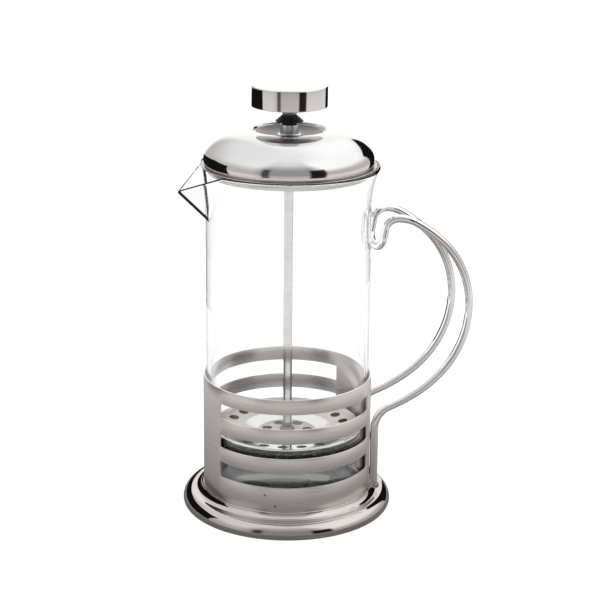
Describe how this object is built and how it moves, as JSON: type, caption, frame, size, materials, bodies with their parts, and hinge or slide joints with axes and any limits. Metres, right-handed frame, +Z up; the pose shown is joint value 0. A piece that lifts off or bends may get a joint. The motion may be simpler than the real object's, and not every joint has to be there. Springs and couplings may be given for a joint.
{
  "type": "french press",
  "caption": "Small french press: glass beaker with a pouring spout in a slotted steel cage on a round foot, bent wire handle, domed lid, plunger with a mesh filter.",
  "frame": {"origin": "the beaker's axis on the plane that the foot rests on", "axes": "+Z up along the plunger rod, +X towards the handle, -X towards the spout"},
  "size_m": [0.1332, 0.0944, 0.1924],
  "materials": {
    "polished_steel": "mirror polished stainless steel",
    "brushed_steel": "fine brushed stainless steel",
    "weld_steel": "dull weld",
    "mesh_steel": "woven or coiled steel wire",
    "black_plastic": "black moulded plastic",
    "clear_glass": "clear borosilicate glass"
  },
  "bodies": {
    "frame": {"base_foot": "polished_steel", "cage_sleeve": "brushed_steel", "sleeve_spot_welds": "weld_steel", "handle_wire": "polished_steel", "handle_foot_welds": "weld_steel", "handle_sleeve_welds": "weld_steel"},
    "beaker": {"glass_beaker": "clear_glass"},
    "guide": {"lid_bush": "black_plastic", "bush_nut": "brushed_steel"},
    "lid": {"lid_dome": "polished_steel", "lid_skirt": "brushed_steel"},
    "plunger": {"knob_cap": "polished_steel", "knob_core": "black_plastic", "knob_boss": "polished_steel", "plunger_rod": "polished_steel", "hub_collar": "brushed_steel", "top_plate": "polished_steel", "spring_coil": "mesh_steel", "filter_mesh": "mesh_steel", "mesh_hem": "polished_steel", "cross_plate": "brushed_steel", "hub_nut": "brushed_steel"}
  },
  "joints": [
    {"name": "beaker_lift", "type": "slide", "parent": "frame", "child": "beaker", "axis": [0, 0, 1], "range_m": [0, 0.12]},
    {"name": "lid_lift", "type": "slide", "parent": "beaker", "child": "guide", "axis": [0, 0, 1], "range_m": [0, 0.15]},
    {"name": "lid_turn", "type": "hinge", "parent": "guide", "child": "lid", "pos_m": [0, 0, 0.165], "axis": [0, 0, 1], "continuous": true},
    {"name": "plunger_slide", "type": "slide", "parent": "guide", "child": "plunger", "axis": [0, 0, 1], "range_m": [0, 0.112]}
  ]
}
